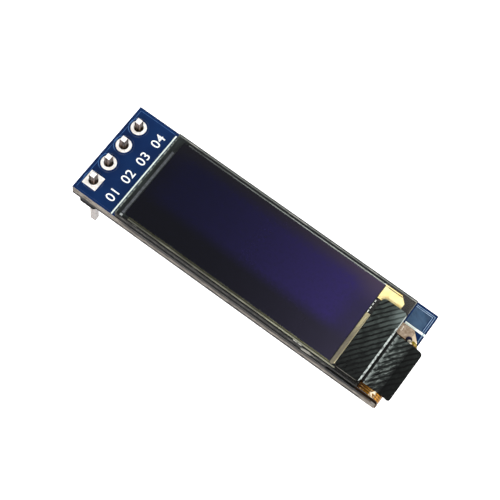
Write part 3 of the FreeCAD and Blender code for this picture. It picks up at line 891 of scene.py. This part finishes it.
def pin_numbers():
    """A plain number beside each pin, read from the header end, its top towards that end."""
    x = glass_low.x - line_to_glass - line_width - number_to_line - number_height / 2
    digits = []
    for number, pin in enumerate(pin_row, 1):
        piece = flat_text("0%d" % number, number_height)
        piece.rotation_euler = (0, 0, math.radians(90))
        piece.location = (x, pin.y, board_high.z + print_height / 2)
        digits.append(settle(piece))
    return join(digits)


def printed_marks(white, pale):
    line = glass_low.x - line_to_glass
    low, top = board_high.z, board_high.z + print_height
    edge = bar((line - line_width, board_low.y + edge_line_margin, low), (line, glass_high.y, top))
    far = board_high.y - strip_from_far_side
    strip = bar((glass_high.x + strip_start, far - strip_width, low), (board_high.x, far, top))
    finish_piece(pin_numbers(), "pin_numbers", white)
    finish_piece(join([edge, strip]), "printed_lines", pale)


# Copper relief under the mask

def relief_bar(x0, x1, y0, y1):
    return bar((x0, y0, board_high.z), (x1, y1, board_high.z + relief_height), relief_height / 3)


def copper_relief(finish):
    """Edges of the copper pour at the header end."""
    left = board_low.x + border_inset
    near = board_low.y + border_near_inset
    far = board_high.y - border_inset
    right = glass_low.x - line_to_glass - line_width - border_to_line
    lines = [
        relief_bar(left, left + border_width, near, far),
        relief_bar(left, right, far - border_width, far),
        relief_bar(left, right, near, near + border_width),
    ]
    finish_piece(smooth(join(lines)), "copper_pour_edges", finish)


def pad_rings(finish):
    """Step in the mask round each pad, where the copper pour keeps clear of it."""
    press = relief_height / ring_width
    rings = [flat_ring((pin.x, pin.y, board_high.z), ring_radius, ring_width, press) for pin in pin_row]
    finish_piece(smooth(join(rings)), "pad_clearance_rings", finish)


def flex_end_tab(finish, edge_finish):
    """Solid copper under the mask at the bare corner beside the cable."""
    x0 = glass_high.x + field_to_glass
    x1 = board_high.x - field_inset
    y0 = board_high.y - strip_from_far_side + field_to_strip
    y1 = board_high.y - field_inset
    finish_piece(relief_bar(x0, x1, y0, y1), "copper_field", finish)
    lines = []
    for past_right, past_far, past_near in field_borders:
        x, y = x1 + past_right, y1 + past_far
        lines += [relief_bar(x0, x, y, y + border_width),
                  relief_bar(x, x + border_width, y0 - past_near, y + border_width)]
    finish_piece(join(lines), "copper_field_borders", edge_finish)


def cable_ear_marks(finish):
    """Ring round the locating hole and beads of dried flux at the root of the cable's ear."""
    marks = [flat_ring(ear_hole, ear_ring_radius, ear_ring_wire, segments=40)]
    for number, along in enumerate(flux_row):
        deselect()
        x = glass_high.x + flux_from_glass + flux_stagger * (number % 2)
        y = flex_high.y - flux_from_far_side - along * mm
        bpy.ops.mesh.primitive_uv_sphere_add(segments=12, ring_count=8, radius=flux_radius,
                                             location=(x, y, ear_hole.z))
        marks.append(settle_new(flux_form))
    finish_piece(smooth(join(marks)), "ear_ring_and_flux", finish)


# Underside

def low_bar(x0, x1, y0, y1):
    return bar((x0, y0, board_low.z - print_height), (x1, y1, board_low.z))


def part_outline(name, closed=False):
    """Printed lines along both long sides of a part of the underside, or all round it."""
    low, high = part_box(name)
    x0, x1 = low.x - outline_gap, high.x + outline_gap
    y0, y1 = low.y - outline_gap, high.y + outline_gap
    wide = outline_width
    over = wide if closed else 0
    lines = [low_bar(x0 - over, x1 + over, y0 - wide, y0), low_bar(x0 - over, x1 + over, y1, y1 + wide)]
    if closed:
        lines += [low_bar(x0 - wide, x0, y0, y1), low_bar(x1, x1 + wide, y0, y1)]
    return lines


def trace_path(points):
    """Copper run under the mask: straight legs that overlap at the turns."""
    legs = []
    for (x0, y0), (x1, y1) in zip(points, points[1:]):
        run = math.hypot(x1 - x0, y1 - y0)
        deselect()
        bpy.ops.mesh.primitive_cube_add(size=1)
        leg = bpy.context.object
        leg.scale = (run + trace_width * trace_overlap, trace_width, relief_height)
        leg.rotation_euler = (0, 0, math.atan2(y1 - y0, x1 - x0))
        leg.location = ((x0 + x1) / 2, (y0 + y1) / 2, board_low.z - relief_height / 2)
        legs.append(settle(leg))
    return legs


def header_traces():
    """One trace from each pin towards the cable, each in its own lane past the small parts."""
    legs = []
    for pin, lane, end in zip(pin_row, trace_lanes, trace_ends):
        lane, end = lane * mm, end * mm
        start = pin.x + trace_start
        last = land_low.x - trace_stop
        level = last - trace_last_leg
        legs += trace_path([(start, pin.y), (start + abs(lane - pin.y), lane),
                            (level - abs(end - lane), lane), (level, end), (last, end)])
    return legs


def vias(tin):
    """Small plated holes, seen as open rings of tin."""
    z = board_low.z - via_drop
    rings = [flat_ring((x * mm, y * mm, z), via_radius - via_wire, via_wire, via_press, 24)
             for x, y in via_places]
    finish_piece(smooth(join(rings)), "vias", tin)


def underside_marks(white, relief, tin):
    outlines = part_outline("regulator_body", closed=True)
    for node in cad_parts:
        if node.startswith("capacitor") or node.startswith("resistor"):
            outlines += part_outline(node)
    finish_piece(join(outlines), "part_outlines", white)
    finish_piece(join(header_traces()), "underside_traces", relief)
    vias(tin)


# Ground glass

def glass_sides(finish):
    """Ground skin on the sides of both glasses."""
    skins = []
    for low, high in ((glass_low, glass_high), (rear_low, rear_high)):
        for y in (low.y - side_skin, high.y):
            skins.append(bar((low.x, y, low.z), (high.x, y + side_skin, high.z)))
        for x in (low.x - side_skin, high.x):
            skins.append(bar((x, low.y, low.z), (x + side_skin, high.y, high.z)))
    finish_piece(join(skins), "ground_glass_sides", finish)


def glass_rims(finish):
    """Narrow ground rim along each upper edge of the front glass, which its finish paints as a highlight."""
    z0, z1 = glass_high.z, glass_high.z + rim_height
    x0, x1, y0, y1 = glass_low.x, glass_high.x, glass_low.y, glass_high.y
    rims = [bar((x0, y0, z0), (x1, y0 + rim_width, z1)), bar((x0, y1 - far_rim_width, z0), (x1, y1, z1)),
            bar((x0, y0 + rim_width, z0), (x0 + left_rim_width, y1 - far_rim_width, z1)),
            bar((x1 - rim_width, tape_high.y + rim_to_tape, z0), (x1, y1 - far_rim_width, z1))]
    finish_piece(join(rims), "ground_glass_rims", finish)


# Tape

def tape_moves():
    """Straight runs and bends of the tape's middle line, from the ledge to its free end."""
    head = glass_high.x - tape_low.x
    drop = glass_high.z - flex_high.z
    angle = math.radians(drop_angle)
    bends = edge_bend + foot_bend
    slope = (drop - bends * (1 - math.cos(angle))) / math.sin(angle)
    foot = glass_high.x + bends * math.sin(angle) + slope * math.cos(angle)
    return [("run", head, 0), ("bend", edge_bend, -drop_angle), ("run", slope, 0),
            ("bend", foot_bend, drop_angle), ("run", board_high.x - flap_start - foot, 0),
            ("bend", flap_bend, -flap_angle)]


def along_tape(distance):
    """Place and upward normal of the tape's middle line, this far from its start."""
    place = Vector((tape_low.x, 0, glass_high.z + tape_thickness / 2))
    heading = 0.0
    left = distance
    for kind, size, degrees in tape_moves():
        normal = Vector((-math.sin(heading), 0, math.cos(heading)))
        if kind == "run":
            step = min(left, size)
            place = place + Vector((math.cos(heading), 0, math.sin(heading))) * step
            left -= step
        else:
            full = math.radians(degrees)
            step = min(left, size * abs(full))
            turn = math.copysign(step / size, full)
            centre = place + normal * math.copysign(size, full)
            place = centre + Matrix.Rotation(-turn, 3, "Y") @ (place - centre)
            heading += turn
            left -= step
        if left <= 0:
            break
    return place, Vector((-math.sin(heading), 0, math.cos(heading)))


def tape_distance(x):
    """How far along the tape's line its plan place x is reached."""
    low, high = 0.0, 2 * (tape_high.x - tape_low.x)
    for _ in range(40):
        middle = (low + high) / 2
        if along_tape(middle)[0].x < x:
            low = middle
        else:
            high = middle
    return low


def rounded_outline(x0, x1, y0, y1, radius):
    """A flat face with round corners, drawn as a bevelled plane."""
    deselect()
    bpy.ops.mesh.primitive_plane_add(size=1, location=((x0 + x1) / 2, (y0 + y1) / 2, 0))
    piece = settle_new((x1 - x0, y1 - y0, 1))
    open_mesh(piece)
    bpy.ops.mesh.bevel(offset=radius, offset_type="OFFSET", segments=8, affect="VERTICES")
    close_mesh()
    return piece


def slice_piece(piece, axis, start, end):
    """Cuts a flat piece into strips across one axis."""
    open_mesh(piece)
    normal = Vector((0, 0, 0))
    normal[axis] = 1
    for cut in range(1, int((end - start) / tape_step) + 1):
        select_mesh()
        bpy.ops.mesh.bisect(plane_co=normal * (start + cut * tape_step), plane_no=normal)
    close_mesh()


def ridge_lift(x, y):
    """Height of the tape's ribs at a place of its flat sheet."""
    turn = math.radians(ridge_angle)
    across = -x * math.sin(turn) + y * math.cos(turn)
    across += ridge_wander * noise.noise(Vector((x, y, 0)) / ridge_wander_size)
    share = abs(((across / ridge_pitch) % 1) - 0.5) * 2
    swing = noise.noise(Vector((x, y, 3 * mm)) / ridge_strength_size)
    strength = ridge_strength + ridge_strength_swing * swing
    off_crease = (x - (glass_high.x - tape_low.x) + crease_width / 2) / crease_width
    crease = crease_height * math.exp(-(crease_sharpness * off_crease) ** 2) if y < crease_stop else 0
    return ridge_height * strength * (0.5 - share ** 4) + crease


def fold_tape(piece):
    """Bends the flat sheet down over the glass edge and the cable, and raises its ribs."""
    for vertex in piece.data.vertices:
        x, y = vertex.co.x, vertex.co.y
        place, normal = along_tape(x)
        sag = sag_height * noise.noise(Vector((x, y, 7 * mm)) / sag_size)
        vertex.co = Vector((place.x, y, place.z)) + normal * (ridge_lift(x, y) + sag)


def union_outline(first, second):
    """One flat face from two overlapping ones, by way of thick slabs."""
    for piece in (first, second):
        apply_modifier(piece, "SOLIDIFY", thickness=tape_slab, offset=0)
    apply_modifier(first, "BOOLEAN", operation="UNION", object=second, solver="EXACT")
    bpy.data.objects.remove(second)
    open_mesh(first)
    bpy.ops.mesh.bisect(plane_co=(0, 0, 0), plane_no=(0, 0, 1), clear_inner=True, clear_outer=True,
                        use_fill=False)
    select_mesh()
    bpy.ops.mesh.remove_doubles(threshold=tape_weld)
    bpy.ops.mesh.edge_face_add()
    select_mesh()
    bpy.ops.mesh.normals_make_consistent(inside=False)
    close_mesh()
    if first.data.polygons[0].normal.z < 0:
        first.data.flip_normals()
    return first


def black_tape(finish):
    """The tape from a flat sheet, wide on the ledge and narrower on the cable, folded and ribbed."""
    length = tape_distance(tape_high.x) + tape_tail_extra
    head = tape_distance(glass_high.x)
    tail_near = flex_low.y + tape_tail_near_inset
    tail_far = flex_high.y - ear_depth - tape_tail_far_inset
    sheet = union_outline(rounded_outline(0, head, tape_low.y, tape_high.y, tape_corner),
                          rounded_outline(head / 2, length, tail_near, tail_far, tape_tail_corner))
    slice_piece(sheet, 0, 0, length)
    slice_piece(sheet, 1, tape_low.y, tape_high.y)
    fold_tape(sheet)
    apply_modifier(sheet, "SOLIDIFY", thickness=tape_thickness * tape_wall_share, offset=0)
    finish_piece(smooth(sheet, 50), "ribbed_tape", finish)
    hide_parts("shield_tape")


# Stage, light and camera

def backdrop_finish():
    """Diffuse floor that looks white to the camera and in reflections, keeps its shadows, and is clear
    from behind."""
    material = bpy.data.materials.new("pale_floor")
    material.use_nodes = True
    tree = material.node_tree
    tree.nodes.clear()
    ray = new_node(tree, "ShaderNodeLightPath").outputs
    mirrored = math_node(tree, "MAXIMUM", ray["Is Glossy Ray"], ray["Is Transmission Ray"])
    seen = math_node(tree, "MAXIMUM", ray["Is Camera Ray"], mirrored)
    light = new_node(tree, "ShaderNodeEmission", Strength=math_node(tree, "MULTIPLY", seen, floor_glow))
    diffuse = new_node(tree, "ShaderNodeBsdfDiffuse", Color=(floor_grey, floor_grey, floor_grey, 1))
    both = new_node(tree, "ShaderNodeAddShader", diffuse.outputs[0], light.outputs[0])
    clear = new_node(tree, "ShaderNodeBsdfTransparent")
    behind = new_node(tree, "ShaderNodeNewGeometry").outputs["Backfacing"]
    shown = new_node(tree, "ShaderNodeMixShader", behind, both.outputs[0], clear.outputs[0])
    new_node(tree, "ShaderNodeOutputMaterial", shown.outputs[0])
    return material


def build_stage():
    """A pale round floor that turns up into a low wall, open above."""
    deselect()
    bpy.ops.mesh.primitive_circle_add(vertices=floor_segments, radius=floor_radius, fill_type="NGON",
                                      location=(0, 0, cad_box[0][2]))
    floor = bpy.context.object
    open_mesh(floor)
    bpy.ops.mesh.select_mode(type="EDGE")
    select_mesh()
    bpy.ops.mesh.region_to_loop()
    bpy.ops.mesh.extrude_region_move(TRANSFORM_OT_translate={"value": (0, 0, wall_height)})
    select_mesh()
    bpy.ops.mesh.normals_make_consistent(inside=True)
    close_mesh()
    settle(floor)
    floor.name = "floor_and_wall"
    floor.data.materials.append(backdrop_finish())


def build_lights():
    for name, place, (width, height), power, tint in lamps:
        light = bpy.data.lights.new(name, "AREA")
        light.shape = "RECTANGLE"
        light.size, light.size_y = width, height
        light.energy = power
        light.color = tint
        lamp = bpy.data.objects.new(name, light)
        bpy.context.scene.collection.objects.link(lamp)
        lamp.location = place
        lamp.rotation_euler = (camera_aim - Vector(place)).to_track_quat("-Z", "Y").to_euler()
    world = bpy.data.worlds.new("dim_sky")
    bpy.context.scene.world = world
    world.use_nodes = True
    sky = world.node_tree.nodes["Background"]
    sky.inputs["Color"].default_value = sky_tint
    sky.inputs["Strength"].default_value = sky_strength


def build_camera():
    camera = bpy.data.cameras.new("camera")
    camera.lens = camera_lens
    camera.sensor_width = camera_sensor
    camera.clip_start, camera.clip_end = camera_range
    eye = bpy.data.objects.new("camera", camera)
    bpy.context.scene.collection.objects.link(eye)
    look = (camera_aim - camera_place).normalized()
    level = look.cross(Vector((0, 0, 1))).normalized()
    rise = level.cross(look)
    turn = math.radians(camera_roll)
    right = level * math.cos(turn) + rise * math.sin(turn)
    up = rise * math.cos(turn) - level * math.sin(turn)
    axes = Matrix((right, up, -look)).transposed().to_4x4()
    eye.matrix_world = Matrix.Translation(camera_place) @ axes
    bpy.context.scene.camera = eye
    bpy.context.scene.view_settings.view_transform = "Standard"


finishes = dress_nodes()
printed_marks(print_finish(), print_finish("pale_line_print", "D9E6DD", "ECF5EE"))
copper_relief(raised_mask_finish())
pad_rings(ring_step_finish())
cable_ear_marks(ear_mark_finish())
outline_ink = print_finish("white_outline")
trace_mask = raised_mask_finish("blue_trace_relief")
underside_marks(outline_ink, trace_mask, finishes["cable_lands"])
flex_end_tab(tab_finish(), bright_edge_finish())
glass_rims(ground_rim_highlight_finish())
glass_sides(ground_side_finish())
black_tape(finishes["shield_tape"])
build_stage()
build_lights()
build_camera()
